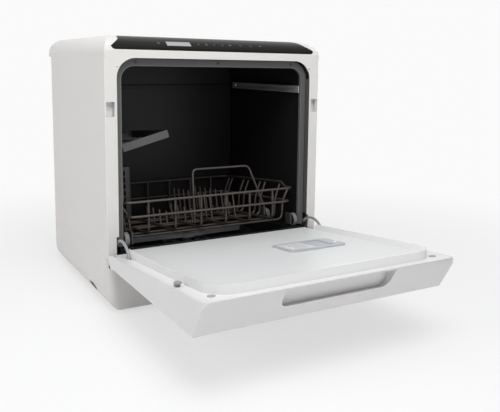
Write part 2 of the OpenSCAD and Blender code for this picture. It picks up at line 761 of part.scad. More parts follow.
module door_plugs() {
    color("whitesmoke") in_door() both_sides() translate([plug_x, -plug_s, 0]) {
        cylinder(h = 0.8, r = plug_r);
        translate([0, 0, -liner_t - 1]) cylinder(h = liner_t + 1, r = plug_r - 1 - run_fit);
    }
}
arm_foot_s = 46;
arm_from = 45;
arm_to = 162;
module hinge_arms() {
    x0 = hinge_arm_x - hinge_plate_t / 2;
    x1 = hinge_arm_x + hinge_plate_t / 2;
    color("silver") both_sides() {
        placed() along_x(x0, x1, concat(arc(hinge_y, hinge_z, hinge_arm_r + hinge_arm_half, arm_from, arm_to, 20),
            arc(hinge_y, hinge_z, hinge_arm_r - hinge_arm_half, arm_to, arm_from, 20)));
        // Foot under the frame of the liner
        in_door() block(x0, x1 + 2, -arm_foot_s - 8, -arm_foot_s, -liner_t - 3, -liner_t);
    }
}
// Detergent dispenser, low in the tray: a cup under a sliding lid
dispenser_x0 = 20;
dispenser_x1 = 126;
dispenser_s0 = 140;
dispenser_s1 = 205;
dispenser_top = tray_h + 2.6;
cup_x0 = dispenser_x0 + 6;
cup_x1 = cup_x0 + 46;
cup_d = 16;
lid_travel = 34;
lid_t = 1.6;
button_x = dispenser_x1 - 9;
button_r = 4;
button_travel = 2;
button_s = (dispenser_s0 + dispenser_s1) / 2 + 12;
module dispenser_hole() {
    block(dispenser_x0 + 3, dispenser_x1 - 3, -dispenser_s1 + 3, -dispenser_s0 - 3, -liner_t - 1, rim_h);
}
lid_s0 = dispenser_s0 + 6;
lid_s1 = dispenser_s1 - 8;
module dispenser_body() {
    color("silver") in_door() difference() {
        union() {
            along_z(tray_h, dispenser_top, round_rect(dispenser_x0, -dispenser_s1, dispenser_x1, -dispenser_s0, 8));
            block(dispenser_x0 + 3.3, dispenser_x1 - 3.3, -dispenser_s1 + 3.3, -dispenser_s0 - 3.3,
                tray_h - cup_d - 2, tray_h);
        }
        // Cup and the guide of its lid
        along_z(tray_h - cup_d, dispenser_top + 1, round_rect(cup_x0 + 3, -lid_s1 + 3, cup_x1 - 3, -lid_s0 - 3, 5));
        block(cup_x0 - fit, cup_x1 + lid_travel + fit, -lid_s1 - fit, -lid_s0 + fit,
            dispenser_top - lid_t - 0.4, dispenser_top + 1);
        translate([button_x, -button_s, dispenser_top - 9]) cylinder(h = 11, r = button_r + run_fit);
        translate([button_x, -button_s, tray_h - cup_d - 3]) cylinder(h = cup_d, r = 2);
    }
}
module dispenser_lid() {
    color("whitesmoke") in_door() {
        block(cup_x0, cup_x1, -lid_s1, -lid_s0, dispenser_top - lid_t - 0.1, dispenser_top - 0.1);
        block(cup_x0 + 8, cup_x0 + 11, -lid_s1 + 12, -lid_s0 - 12, dispenser_top - 0.1, dispenser_top + 0.9);
    }
}
module dispenser_button() {
    color("whitesmoke") in_door() translate([button_x, -button_s, dispenser_top - 5])
        cylinder(h = 5 + 1.8, r = button_r);
}

// ---- Rack ----
rack_s0 = 12;
rack_s1 = rack_s0 + rack_d;
rim_s0 = rack_s0 + 10;
mid_s0 = rim_s0 - 3.2;
floor_s0 = rack_s0 + 4;
rack_foot_half = rack_half - 16;
mid_h = 55;
mid_half = rack_half - 7;
notch_s = rack_s1 - 37;
notch_drop = 9;
function rack_share(f) = rack_s0 + f * rack_d;
cross_s = [for (f = [0.07, 0.125, 0.31, 0.385, 0.56, 0.63, 0.83, 0.93]) rack_share(f)];
long_x = [for (k = [-5:2:5]) k * (rack_half - 44) / 5];
bend_r = 11;
// Crossing wires lie against each other, a weld gap apart
weld = 2 * wire_r + 0.15;
low_h = rack_rim_h - notch_drop;
long_h = rack_floor_h + weld;
cross_mid = mid_half - weld - 1.3;
module rack_frame() {
    color([0.35, 0.31, 0.29]) in_rack() {
        // Rim with its lower front part
        wire(concat(
            bend([0, -rack_s1, low_h], [rack_half, -rack_s1, low_h], [rack_half, -notch_s, low_h], 22, 3),
            [[rack_half, -notch_s - 6, low_h], [rack_half, -notch_s + 4, rack_rim_h]],
            bend([rack_half, -notch_s, rack_rim_h], [rack_half, -rim_s0, rack_rim_h],
                [0, -rim_s0, rack_rim_h], 18, 3),
            bend([0, -rim_s0, rack_rim_h], [-rack_half, -rim_s0, rack_rim_h],
                [-rack_half, -notch_s, rack_rim_h], 18, 3),
            [[-rack_half, -notch_s + 4, rack_rim_h], [-rack_half, -notch_s - 6, low_h]],
            bend([-rack_half, -notch_s, low_h], [-rack_half, -rack_s1, low_h], [0, -rack_s1, low_h], 22, 3),
            [[rack_half - 22, -rack_s1, low_h]]));
        // Middle ring
        wire(concat(
            bend([0, -rack_s1, mid_h], [mid_half, -rack_s1, mid_h], [mid_half, 0, mid_h], 20, 3),
            bend([mid_half, -rack_s1, mid_h], [mid_half, -mid_s0, mid_h], [0, -mid_s0, mid_h], 16, 3),
            bend([0, -mid_s0, mid_h], [-mid_half, -mid_s0, mid_h], [-mid_half, -rack_s1, mid_h], 16, 3),
            bend([-mid_half, 0, mid_h], [-mid_half, -rack_s1, mid_h], [0, -rack_s1, mid_h], 20, 3),
            [[mid_half - 20, -rack_s1, mid_h]]));
    }
}
module rack_cross_wires() {
    color([0.35, 0.31, 0.29]) in_rack() for (s = cross_s)
        let (top = (s > notch_s - 6 ? low_h : rack_rim_h) - weld)
        wire(concat([[-rack_half, -s, top]],
            bend([-rack_half, -s, top], [-cross_mid, -s, mid_h], [-rack_foot_half, -s, rack_floor_h], 6, 1),
            bend([-cross_mid, -s, mid_h], [-rack_foot_half, -s, rack_floor_h], [0, -s, rack_floor_h], bend_r, 2),
            bend([0, -s, rack_floor_h], [rack_foot_half, -s, rack_floor_h], [cross_mid, -s, mid_h], bend_r, 2),
            bend([rack_foot_half, -s, rack_floor_h], [cross_mid, -s, mid_h], [rack_half, -s, top], 6, 1),
            [[rack_half, -s, top]]));
}
module rack_long_wires() {
    color([0.35, 0.31, 0.29]) in_rack() for (x = long_x)
        wire(bent_path([[x, -rim_s0 - weld, rack_rim_h], [x, -floor_s0 - weld, long_h],
            [x, -rack_s1 + weld + 4, long_h], [x, -rack_s1 + weld, low_h]], bend_r, 2));
}
tine_r = 1.7;
tine_foot_h = long_h + wire_r + tine_r + 0.1;
tine_h = 74;
tine_pitch = 25;
tine_count = 8;
module rack_tines() {
    color([0.35, 0.31, 0.29]) in_rack() {
        for (x = [long_x[3], long_x[4]], k = [0:tine_count - 1])
            let (s = rack_share(0.16) + k * tine_pitch)
            wire([[x, -s, tine_foot_h], [x, -s + 9, tine_h]], tine_r);
        for (x = [long_x[1], long_x[2]], k = [0:3])
            let (s = rack_share(0.5) + k * tine_pitch * 1.3)
            wire([[x, -s, tine_foot_h], [x, -s + 5, tine_h * 0.72]], tine_r);
    }
}
hoop_s = rack_share(0.87);
hoop_top = 126;
hoop_x1 = 91;
hoop_shoulder_h = 43.5;
module rack_hoop() {
    foot = tine_foot_h + 0.3;
    color([0.35, 0.31, 0.29]) in_rack() wire(bent_path([
        [long_x[2], -hoop_s, foot], [long_x[2], -hoop_s, hoop_top], [hoop_x1, -hoop_s, hoop_top],
        [long_x[5], -hoop_s, hoop_shoulder_h], [long_x[5], -hoop_s, foot]], 7, 2), fence_r);
}
fence_r = 2;
fence_x = -(rack_half - wire_r - fence_r - 0.4);
fence_foot = rack_rim_h - 12;
fence_rise = 20;
fence_pairs = [for (f = [0.181, 0.442, 0.704, 0.875]) rack_share(f)];
pair_w = 16;
module shelf_supports() {
    color([0.35, 0.31, 0.29]) in_rack() {
        for (i = [0:len(fence_pairs) - 1])
            let (s = fence_pairs[i], top = i == 0 ? fence_h + fence_rise : fence_h)
            wire(bent_path([[fence_x, -s, fence_foot], [fence_x, -s, top], [fence_x, -s - pair_w, top],
                [fence_x, -s - pair_w, fence_foot]], 6, 2), fence_r);
        wire([[fence_x, -fence_pairs[0] - pair_w, fence_h], [fence_x, -fence_pairs[3] - 6, fence_h]], fence_r);
    }
}
pivot_x = fence_x + 6.4;
pivot_h = 172;
pivot_r = 2;
pivot_s0 = fence_pairs[0] - 2;
pivot_s1 = fence_pairs[3] - 2;
clip_half = 3;
clip_gap = 0.4;
module shelf_clips() {
    color("gray") in_rack() {
        rod_y(pivot_x, -pivot_s1, -pivot_s0, pivot_h, pivot_r);
        for (i = [0:2]) let (s = fence_pairs[i] + fence_r + clip_gap, w = pair_w - 2 * (fence_r + clip_gap)) {
            block(fence_x - 3, pivot_x, -s - w, -s, pivot_h - clip_half, pivot_h + clip_half);
            rod_y(pivot_x, -s - w, -s, pivot_h, clip_half);
        }
    }
}
shelf_s0 = rack_share(0.17);
shelf_s1 = shelf_s0 + shelf_len;
shelf_top = 4;
shelf_face = 14;
shelf_wall = 2;
shelf_from = 6;
knuckle_r = 4.4;
knuckle_len = 12;
knuckle_s = [(fence_pairs[0] + pair_w + fence_pairs[1]) / 2, (fence_pairs[1] + pair_w + fence_pairs[2]) / 2];
shelf_rows = 3;
shelf_cols = 7;
module cup_shelf() {
    u1 = shelf_w;
    slot_w = (u1 - shelf_from - 2 * shelf_wall) / shelf_rows;
    slot_l = (shelf_len - 2 * shelf_wall) / shelf_cols;
    rib = 5;
    color("gray") in_rack() translate([pivot_x, 0, pivot_h]) rotate([0, -shelf_rise, 0]) difference() {
        union() {
            difference() {
                block(shelf_from, u1, -shelf_s1, -shelf_s0, shelf_top - shelf_face, shelf_top);
                block(shelf_from + shelf_wall, u1 - shelf_wall, -shelf_s1 + shelf_wall, -shelf_s0 - shelf_wall,
                    shelf_top - shelf_face + shelf_wall, shelf_top + 1);
                for (i = [0:shelf_rows - 1], j = [0:shelf_cols - 1])
                    let (u = shelf_from + shelf_wall + i * slot_w, v = -shelf_s1 + shelf_wall + j * slot_l)
                    block(u + rib / 2, u + slot_w - rib / 2, v + rib / 2, v + slot_l - rib / 2,
                        shelf_top - shelf_face - 1, shelf_top - shelf_face + shelf_wall + 1);
            }
            for (s = knuckle_s) {
                rod_y(0, -s - knuckle_len / 2, -s + knuckle_len / 2, 0, knuckle_r);
                block(0, shelf_from + 1, -s - knuckle_len / 2, -s + knuckle_len / 2, -2, 2);
            }
        }
        rod_y(0, -shelf_s1, -shelf_s0, 0, pivot_r + run_fit);
    }
}
wheel_x = rack_half - 1;
wheel_h = tray_h + wheel_r + fit;
wheel_s = [rack_s1 - 5, rack_share(0.627), rack_s0 + 8];
axle_r = 2.5;
wheel_bore = axle_r + run_fit;
module wheel(side, s) {
    half = wheel_w / 2;
    color("gray") in_rack() translate([side * wheel_x, -s, wheel_h]) rotate([0, 90, 0]) difference() {
        rotate_extrude() polygon([[wheel_bore, -half], [wheel_r * 0.36, -half], [wheel_r * 0.4, -half + 2],
            [wheel_r * 0.74, -half + 2], [wheel_r * 0.78, -half], [wheel_r - 0.8, -half], [wheel_r, -half + 0.8],
            [wheel_r, half - 0.8], [wheel_r - 0.8, half], [wheel_r * 0.78, half], [wheel_r * 0.74, half - 2],
            [wheel_r * 0.4, half - 2], [wheel_r * 0.36, half], [wheel_bore, half]]);
        for (a = [0:72:288]) rotate(a) translate([wheel_r * 0.57, 0, -half])
            cylinder(h = wheel_w, r = wheel_r * 0.13, $fn = 24);
    }
}
module front_left_wheel() {
    wheel(-1, wheel_s[0]);
}
module front_right_wheel() {
    wheel(1, wheel_s[0]);
}
module middle_left_wheel() {
    wheel(-1, wheel_s[1]);
}
module middle_right_wheel() {
    wheel(1, wheel_s[1]);
}
module rear_left_wheel() {
    wheel(-1, wheel_s[2]);
}
module rear_right_wheel() {
    wheel(1, wheel_s[2]);
}
axle_plate_x = rack_foot_half + 4.4;
axle_plate_t = 3;
module wheel_axles() {
    color("dimgray") in_rack() both_sides() for (s = wheel_s) {
        rod_x(axle_plate_x, wheel_x + wheel_w / 2, -s, wheel_h, axle_r);
        block(axle_plate_x, axle_plate_x + axle_plate_t, -s - 9, -s + 9, wheel_h - 8, wheel_h + 14);
    }
}
basket_x0 = -rack_foot_half + wire_r + 0.8;
basket_w = 56;
basket_s0 = rim_s0 + weld + wire_r + 0.8;
basket_len = 84;
basket_h0 = long_h + wire_r + fit;
basket_h = 104;
basket_wall = 1.8;
basket_rim = 3;
snap_gap = 0.1;
mesh_pitch = 13;
mesh_hole = 9.5;
// One flat panel of the basket, w by h, with a square grid of holes through its thickness
module basket_panel(w, h) {
    across = floor((w - 2 * basket_rim) / mesh_pitch);
    up = floor((h - 2 * basket_rim) / mesh_pitch);
    x0 = (w - across * mesh_pitch + mesh_pitch - mesh_hole) / 2;
    y0 = (h - up * mesh_pitch + mesh_pitch - mesh_hole) / 2;
    difference() {
        cube([w, h, basket_wall]);
        for (i = [0:across - 1], j = [0:up - 1])
            translate([x0 + i * mesh_pitch, y0 + j * mesh_pitch, -1])
                cube([mesh_hole, mesh_hole, basket_wall + 2]);
    }
}
module cutlery_basket() {
    inner = basket_w - 2 * (basket_wall + snap_gap);
    floor_len = basket_len - 2 * (basket_wall + snap_gap);
    color("dimgray") in_rack() translate([basket_x0, -basket_s0 - basket_len, basket_h0]) {
        // Long walls, with the end walls and the floor snapped between them
        for (x = [0, basket_w - basket_wall])
            translate([x, 0, 0]) rotate([90, 0, 90]) basket_panel(basket_len, basket_h);
        for (y = [basket_wall, basket_len])
            translate([basket_wall + snap_gap, y, 0]) rotate([90, 0, 0]) basket_panel(inner, basket_h);
        translate([basket_wall + snap_gap, basket_wall + snap_gap, 0]) basket_panel(inner, floor_len);
    }
}

base_tray();
feet();
left_side_panel();
right_side_panel();
top_cover();
control_panel();
display_window();
rear_panel();
inlet_valve();
drain_connector();
cord_inlet();
tub();
door_seal();
seal_retainer();
seal_screws();
left_rail();
right_rail();
sump();
filter_plate();
filter_cylinder();
spray_hub();
spray_arm();
wash_pump();
drain_pump();
heater();
water_tank();
control_board();
door_catches();
hinge_brackets();
hinge_pins();
door_outer();
door_liner();
door_tray();
latch_hooks();
door_plugs();
hinge_arms();
dispenser_body();
dispenser_lid();
dispenser_button();
rack_frame();
rack_cross_wires();
rack_long_wires();
rack_tines();
rack_hoop();
shelf_supports();
shelf_clips();
cup_shelf();
front_left_wheel();
front_right_wheel();
middle_left_wheel();
middle_right_wheel();
rear_left_wheel();
rear_right_wheel();
wheel_axles();
cutlery_basket();
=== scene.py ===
"""Countertop dishwasher: looks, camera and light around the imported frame."""
import json
import math

import bmesh
import bpy
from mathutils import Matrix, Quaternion, Vector
from mathutils.bvhtree import BVHTree

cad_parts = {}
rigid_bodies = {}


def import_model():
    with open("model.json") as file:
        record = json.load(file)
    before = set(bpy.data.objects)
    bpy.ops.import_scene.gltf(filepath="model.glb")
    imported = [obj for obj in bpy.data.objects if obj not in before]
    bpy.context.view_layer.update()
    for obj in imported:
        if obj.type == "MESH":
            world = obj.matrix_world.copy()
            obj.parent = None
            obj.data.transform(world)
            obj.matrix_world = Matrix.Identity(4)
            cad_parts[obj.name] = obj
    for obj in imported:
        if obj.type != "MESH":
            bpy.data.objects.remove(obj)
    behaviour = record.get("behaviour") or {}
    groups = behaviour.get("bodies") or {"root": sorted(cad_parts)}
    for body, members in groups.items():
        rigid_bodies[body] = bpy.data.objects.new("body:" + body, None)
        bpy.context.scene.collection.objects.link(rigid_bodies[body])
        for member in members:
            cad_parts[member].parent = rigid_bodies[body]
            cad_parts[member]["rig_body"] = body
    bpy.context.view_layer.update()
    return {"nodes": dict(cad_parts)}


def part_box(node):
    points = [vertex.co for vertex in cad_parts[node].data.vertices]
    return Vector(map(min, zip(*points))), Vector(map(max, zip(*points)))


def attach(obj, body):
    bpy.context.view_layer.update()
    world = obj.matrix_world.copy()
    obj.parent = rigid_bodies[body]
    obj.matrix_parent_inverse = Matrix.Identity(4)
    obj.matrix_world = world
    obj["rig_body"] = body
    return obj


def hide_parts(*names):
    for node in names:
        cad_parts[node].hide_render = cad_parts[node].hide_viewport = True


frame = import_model()
nodes = frame["nodes"]
scene = bpy.context.scene

# ---- Sizes shared with the CAD model, in millimetres in the cabinet's frame ----
MM = 0.001
BODY_D = 372
DOOR_Y = -2
DOOR_Z = 104
DOOR_RISE = math.radians(5.6)
RACK_TRAVEL = 316
RACK_S0 = 12
RACK_D = 287
RACK_S1 = RACK_S0 + RACK_D
RACK_HALF = 168
RIM_S0 = RACK_S0 + 10
MID_S0 = RIM_S0 - 3.2
FLOOR_S0 = RACK_S0 + 4
RIM_HEIGHT = 89
LOW_HEIGHT = 80
MID_HEIGHT = 55
FLOOR_HEIGHT = 19
WIRE_R = 2.2
TINE_R = 1.7
FENCE_R = 2.0
WELD_GAP = 0.15
WELD = 2 * WIRE_R + WELD_GAP
LONG_HEIGHT = FLOOR_HEIGHT + WELD
MID_HALF = RACK_HALF - 7
CROSS_MID = MID_HALF - WELD - 1.3
FOOT_HALF = RACK_HALF - 16
NOTCH_S = RACK_S1 - 37
NOTCH_HIGH_S = NOTCH_S - 4
NOTCH_LOW_S = NOTCH_S + 6
LOW_WIRES_S = NOTCH_S - 6
y_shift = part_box("rear_panel")[1].y - BODY_D * MM


def cab(x, y, z):
    """A point of the cabinet's frame, in metres of the row's frame."""
    return Vector((x * MM, y * MM + y_shift, z * MM))


def door_point(x, s, h):
    """A point s along the open door from its hinge end and h above its inner plane."""
    y = h * math.sin(DOOR_RISE) - s * math.cos(DOOR_RISE)
    z = h * math.cos(DOOR_RISE) + s * math.sin(DOOR_RISE)
    return cab(x, DOOR_Y + y, DOOR_Z + z)


def rack_point(x, s, h):
    """The same for the rack, which rests pushed in."""
    return door_point(x, s - RACK_TRAVEL, h)


def rack_share(part):
    """The distance s at this share of the rack's length."""
    return RACK_S0 + part * RACK_D


# ---- Materials ----
def node_tree(name):
    material = bpy.data.materials.new(name)
    material.use_nodes = True
    tree = material.node_tree
    shader = tree.nodes["Principled BSDF"]
    return material, tree, shader


def add(tree, kind, **inputs):
    made = tree.nodes.new(kind)
    for key, value in inputs.items():
        made.inputs[key.replace("_", " ")].default_value = value
    return made


# The colour sockets of a Mix node, which shares their names with its number sockets.
MIX_FACTOR = 0
MIX_A = 6
MIX_B = 7
MIX_RESULT = 2


def shaded(colour, factor):
    """The colour made lighter or darker, with full alpha."""
    return tuple(min(1.0, c * factor) for c in colour[:3]) + (1.0,)


ROUGH_DRIFT = 0.06
LEAST_ROUGH = 0.02
BUMP_HEIGHT = 0.0004


def surface(name, colour, rough, grain=900.0, depth=0.06, vary=0.04, metallic=0.0,
            stretch=(1, 1, 1), patch=7.0, specular=0.5):
    """A moulded, painted or brushed surface: fine grain in bump and roughness, slow drift in colour."""
    material, tree, shader = node_tree(name)
    link = tree.links.new
    place = tree.nodes.new("ShaderNodeTexCoord")
    mapping = tree.nodes.new("ShaderNodeMapping")
    mapping.inputs["Scale"].default_value = stretch
    link(place.outputs["Object"], mapping.inputs["Vector"])
    fine = add(tree, "ShaderNodeTexNoise", Scale=grain, Detail=3.0)
    slow = add(tree, "ShaderNodeTexNoise", Scale=patch, Detail=4.0)
    link(mapping.outputs["Vector"], fine.inputs["Vector"])
    link(place.outputs["Object"], slow.inputs["Vector"])
    blend = tree.nodes.new("ShaderNodeMix")
    blend.data_type = "RGBA"
    blend.inputs[MIX_A].default_value = shaded(colour, 1 - vary)
    blend.inputs[MIX_B].default_value = shaded(colour, 1 + vary)
    link(slow.outputs["Fac"], blend.inputs[MIX_FACTOR])
    link(blend.outputs[MIX_RESULT], shader.inputs["Base Color"])
    spread = tree.nodes.new("ShaderNodeMapRange")
    spread.inputs["To Min"].default_value = max(LEAST_ROUGH, rough - ROUGH_DRIFT)
    spread.inputs["To Max"].default_value = min(1.0, rough + ROUGH_DRIFT)
    link(fine.outputs["Fac"], spread.inputs["Value"])
    link(spread.outputs["Result"], shader.inputs["Roughness"])
    bump = add(tree, "ShaderNodeBump", Strength=depth, Distance=BUMP_HEIGHT)
    link(fine.outputs["Fac"], bump.inputs["Height"])
    link(bump.outputs["Normal"], shader.inputs["Normal"])
    shader.inputs["Metallic"].default_value = metallic
    shader.inputs["Specular IOR Level"].default_value = specular
    return material


BRUSH_ACROSS = (0.04, 1, 1)
BRUSH_ALONG = (1, 0.04, 1)
look = {
    "housing": surface("housing_paint", (0.63, 0.615, 0.595), 0.42, grain=1400, depth=0.05, vary=0.02),
    "front": surface("front_paint", (0.64, 0.63, 0.625), 0.34, grain=1400, depth=0.04, vary=0.02),
    "feet_rubber": surface("feet_rubber", (0.035, 0.035, 0.036), 0.8, grain=700, depth=0.3),
    "control_gloss": surface("control_gloss", (0.0095, 0.009, 0.0078), 0.3, grain=300, depth=0.01,
                             specular=0.06),
    "display": surface("display_glass", (0.3, 0.3, 0.31), 0.2, grain=200, depth=0.01, specular=0.3),
    "rear_sheet": surface("galvanised_sheet", (0.52, 0.53, 0.54), 0.42, grain=90, depth=0.08, vary=0.12,
                          metallic=0.9, patch=45),
    "connector_plastic": surface("pale_connector", (0.55, 0.55, 0.54), 0.5, grain=800, depth=0.1),
    "dark_plastic": surface("dark_plastic", (0.03, 0.03, 0.032), 0.55, grain=900, depth=0.12),
    "tub_plastic": surface("tub_lining", (0.0115, 0.0118, 0.0125), 0.4, grain=1100, depth=0.08, vary=0.1,
                           specular=0.16),
    "seal_rubber": surface("seal_rubber", (0.078, 0.078, 0.079), 0.62, grain=1200, depth=0.2),
    "trim": surface("seal_trim", (0.12, 0.12, 0.122), 0.38, grain=900, depth=0.06),
    "screw_steel": surface("dark_steel", (0.1, 0.1, 0.1), 0.35, grain=400, depth=0.1, metallic=0.9),
    "rail_plastic": surface("rail_plastic", (0.2, 0.2, 0.205), 0.45, grain=900, depth=0.08),
    "shelf_plastic": surface("shelf_plastic", (0.065, 0.065, 0.068), 0.42, grain=900, depth=0.08),
    "steel": surface("brushed_steel", (0.56, 0.56, 0.57), 0.3, grain=500, depth=0.12, metallic=1.0,
                     stretch=BRUSH_ALONG),
    "arm_steel": surface("arm_paint", (0.3, 0.3, 0.3), 0.35, grain=900, depth=0.05),
    "grey_plastic": surface("grey_plastic", (0.12, 0.12, 0.125), 0.5, grain=900, depth=0.1),
    "tank_plastic": surface("tank_plastic", (0.6, 0.61, 0.62), 0.55, grain=500, depth=0.1),
    "plug_plastic": surface("plug_plastic", (0.3, 0.3, 0.305), 0.45, grain=900, depth=0.08),
    "clip_plastic": surface("clip_plastic", (0.055, 0.055, 0.058), 0.45, grain=900, depth=0.1),
    "board": surface("circuit_board", (0.02, 0.11, 0.04), 0.45, grain=500, depth=0.1, vary=0.2, patch=120),
    "liner_plastic": surface("liner_plastic", (0.68, 0.68, 0.675), 0.3, grain=1200, depth=0.03, vary=0.02),
    "tray_panel": surface("tray_panel", (0.68, 0.685, 0.685), 0.4, grain=900, depth=0.02, vary=0.02,
                          stretch=BRUSH_ACROSS, specular=0.3),
    "dispenser_plastic": surface("dispenser_plastic", (0.42, 0.44, 0.46), 0.4, grain=900, depth=0.08),
    "wire_coating": surface("wire_coating", (0.052, 0.041, 0.036), 0.36, grain=600, depth=0.12, vary=0.15,
                            patch=60),
    "wheel_rubber": surface("wheel_grey", (0.16, 0.165, 0.17), 0.55, grain=800, depth=0.15),
    "wheel_hub": surface("wheel_hub", (0.022, 0.022, 0.023), 0.4, grain=900, depth=0.1),
    "basket_plastic": surface("basket_plastic", (0.03, 0.029, 0.029), 0.45, grain=900, depth=0.1),
    "icon_paint": surface("icon_paint", (0.19, 0.19, 0.195), 0.5, grain=1500, depth=0.02, vary=0.01),
}


# ---- Pieces that dress the CAD nodes with rounded edges ----
# Points closer than this, in metres, become one; faces closer to flat than this become one.
JOIN_WITHIN = 2e-5
FLAT_WITHIN = math.radians(0.6)
# An edge that turns more than this is sharp, and gets a rounded edge.
CREASE = math.radians(32)
EDGE_STEPS = 2
LARGE_FACES_LEAD = 100


def dressed(node, finish, width):
    """A copy of a CAD node with clean faces, small rounded edges and smooth curved faces."""
    source = nodes[node]
    mesh = source.data.copy()
    piece = bpy.data.objects.new(node + "_skin", mesh)
    scene.collection.objects.link(piece)
    shape = bmesh.new()
    shape.from_mesh(mesh)
    bmesh.ops.remove_doubles(shape, verts=shape.verts, dist=JOIN_WITHIN)
    bmesh.ops.dissolve_limit(shape, angle_limit=FLAT_WITHIN, verts=shape.verts, edges=shape.edges)
    shape.to_mesh(mesh)
    shape.free()
    mesh.materials.clear()
    mesh.materials.append(look[finish])
    for face in mesh.polygons:
        face.use_smooth = True
        face.material_index = 0
    mesh.set_sharp_from_angle(angle=CREASE)
    if width:
        bevel = piece.modifiers.new("edges", "BEVEL")
        bevel.width = width * MM
        bevel.segments = EDGE_STEPS
        bevel.limit_method = "ANGLE"
        bevel.angle_limit = CREASE
        bevel.harden_normals = True
        bevel.use_clamp_overlap = True
    even = piece.modifiers.new("even_faces", "WEIGHTED_NORMAL")
    even.keep_sharp = True
    even.weight = LARGE_FACES_LEAD
    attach(piece, source["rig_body"])
    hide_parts(node)
    return piece


def plain(finish, *names):
    """CAD nodes whose own mesh is right: they only get a material."""
    for name in names:
        mesh = nodes[name].data
        mesh.materials.clear()
        mesh.materials.append(look[finish])


# Each node's finish, and the width of its rounded edges in millimetres.
DRESSED = {
    "base_tray": ("housing", 0.7), "left_side_panel": ("housing", 0.7), "right_side_panel": ("housing", 0.7),
    "top_cover": ("housing", 0.7), "door_outer": ("front", 0.9), "feet": ("feet_rubber", 0.8),
    "rear_panel": ("rear_sheet", 0.3), "inlet_valve": ("connector_plastic", 0.4),
    "drain_connector": ("dark_plastic", 0.4), "cord_inlet": ("dark_plastic", 0.4),
    "tub": ("tub_plastic", 0.6), "door_seal": ("seal_rubber", 1.2), "seal_retainer": ("trim", 0.3),
    "seal_screws": ("dark_plastic", 0.0), "left_rail": ("rail_plastic", 0.6),
    "right_rail": ("rail_plastic", 0.6), "sump": ("dark_plastic", 0.4), "filter_plate": ("steel", 0.3),
    "filter_cylinder": ("grey_plastic", 0.3), "spray_hub": ("dark_plastic", 0.5),
    "spray_arm": ("grey_plastic", 1.6), "wash_pump": ("grey_plastic", 1.0),
    "drain_pump": ("grey_plastic", 1.0), "heater": ("steel", 0.8),
    "water_tank": ("tank_plastic", 1.0), "control_board": ("board", 0.2),
    "hinge_brackets": ("steel", 0.3), "hinge_pins": ("screw_steel", 0.3),
    "door_liner": ("liner_plastic", 0.7), "door_tray": ("tray_panel", 0.3), "latch_hooks": ("arm_steel", 0.6),
    "door_plugs": ("plug_plastic", 0.3), "hinge_arms": ("arm_steel", 0.4),
    "dispenser_body": ("dispenser_plastic", 0.5), "dispenser_lid": ("liner_plastic", 0.3),
    "dispenser_button": ("liner_plastic", 0.4), "cup_shelf": ("shelf_plastic", 0.5),
    "shelf_clips": ("clip_plastic", 0.5), "wheel_axles": ("dark_plastic", 0.4),
    "cutlery_basket": ("basket_plastic", 0.3), "control_panel": ("control_gloss", 0.2),
    "display_window": ("display", 0.0),
}
plain("front", "door_catches")
skins = {name: dressed(name, finish, width) for name, (finish, width) in DRESSED.items()}
# A face looks along an axis when its normal's share of that axis is above this.
ALONG = 0.9
# The front ends of the rails are pale.
for name in ("left_rail", "right_rail"):
    rail = skins[name].data
    rail.materials.append(look["liner_plastic"])
    for face in rail.polygons:
        if face.normal.y < -ALONG:
            face.material_index = 1
# The edge that the side panels turn in behind the frame is as dark as the gasket beside it.
RETURN_X = 187
for name in ("left_side_panel", "right_side_panel"):
    panel = skins[name].data
    panel.materials.append(look["seal_rubber"])
    for face in panel.polygons:
        if abs(face.normal.x) > ALONG and abs(face.center.x) < RETURN_X * MM:
            face.material_index = 1
# The middle of a wheel, out to this share of its radius, is a dark hub.
HUB_SHARE = 0.76
WHEEL_EDGE = 0.4
for name in nodes:
    if name.endswith("_wheel"):
        wheel = dressed(name, "wheel_rubber", WHEEL_EDGE).data
        wheel.materials.append(look["wheel_hub"])
        low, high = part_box(name)
        axle = (low + high) / 2
        for face in wheel.polygons:
            from_axle = face.center - axle
            if math.hypot(from_axle.y, from_axle.z) < HUB_SHARE * (high.z - low.z) / 2:
                face.material_index = 1


# ---- Smooth wires in place of the faceted ones ----
BEND_STEPS = 5
SIDE_SHARE = 0.49


def rounded(points, radius):
    """Corner points joined with round bends."""
    path = [points[0]]
    for before, corner, after in zip(points, points[1:], points[2:]):
        into = before - corner
        out = after - corner
        reach = min(radius, into.length * SIDE_SHARE, out.length * SIDE_SHARE)
        a = corner + into.normalized() * reach
        b = corner + out.normalized() * reach
        for t in (step / BEND_STEPS for step in range(BEND_STEPS + 1)):
            path.append(a.lerp(corner, t).lerp(corner.lerp(b, t), t))
    return path + [points[-1]]


WIRE_ROUNDNESS = 3


def wires(name, paths, radius, node, closed=False):
    """Round wires along paths, in place of the CAD node."""
    curve = bpy.data.curves.new(name, "CURVE")
    curve.dimensions = "3D"
    curve.bevel_depth = radius * MM
    curve.bevel_resolution = WIRE_ROUNDNESS
    curve.use_fill_caps = True
    curve.materials.append(look["wire_coating"])
    for path in paths:
        spline = curve.splines.new("POLY")
        spline.points.add(len(path) - 1)
        spline.use_cyclic_u = closed
        spline.use_smooth = True
        for point, place in zip(spline.points, path):
            point.co = (*place, 1.0)
    piece = bpy.data.objects.new(name, curve)
    scene.collection.objects.link(piece)
    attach(piece, nodes[node]["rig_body"])
    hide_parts(node)


BEND = 11 * MM
RIM_BEND = 18 * MM
MIDDLE_BEND = 16 * MM
HOOP_BEND = 9 * MM
FENCE_BEND = 6 * MM


def ring(corners, radius):
    """A closed rounded loop through corner points."""
    first = corners[0].lerp(corners[-1], 0.5)
    return rounded([first] + corners + [first], radius)[:-1]


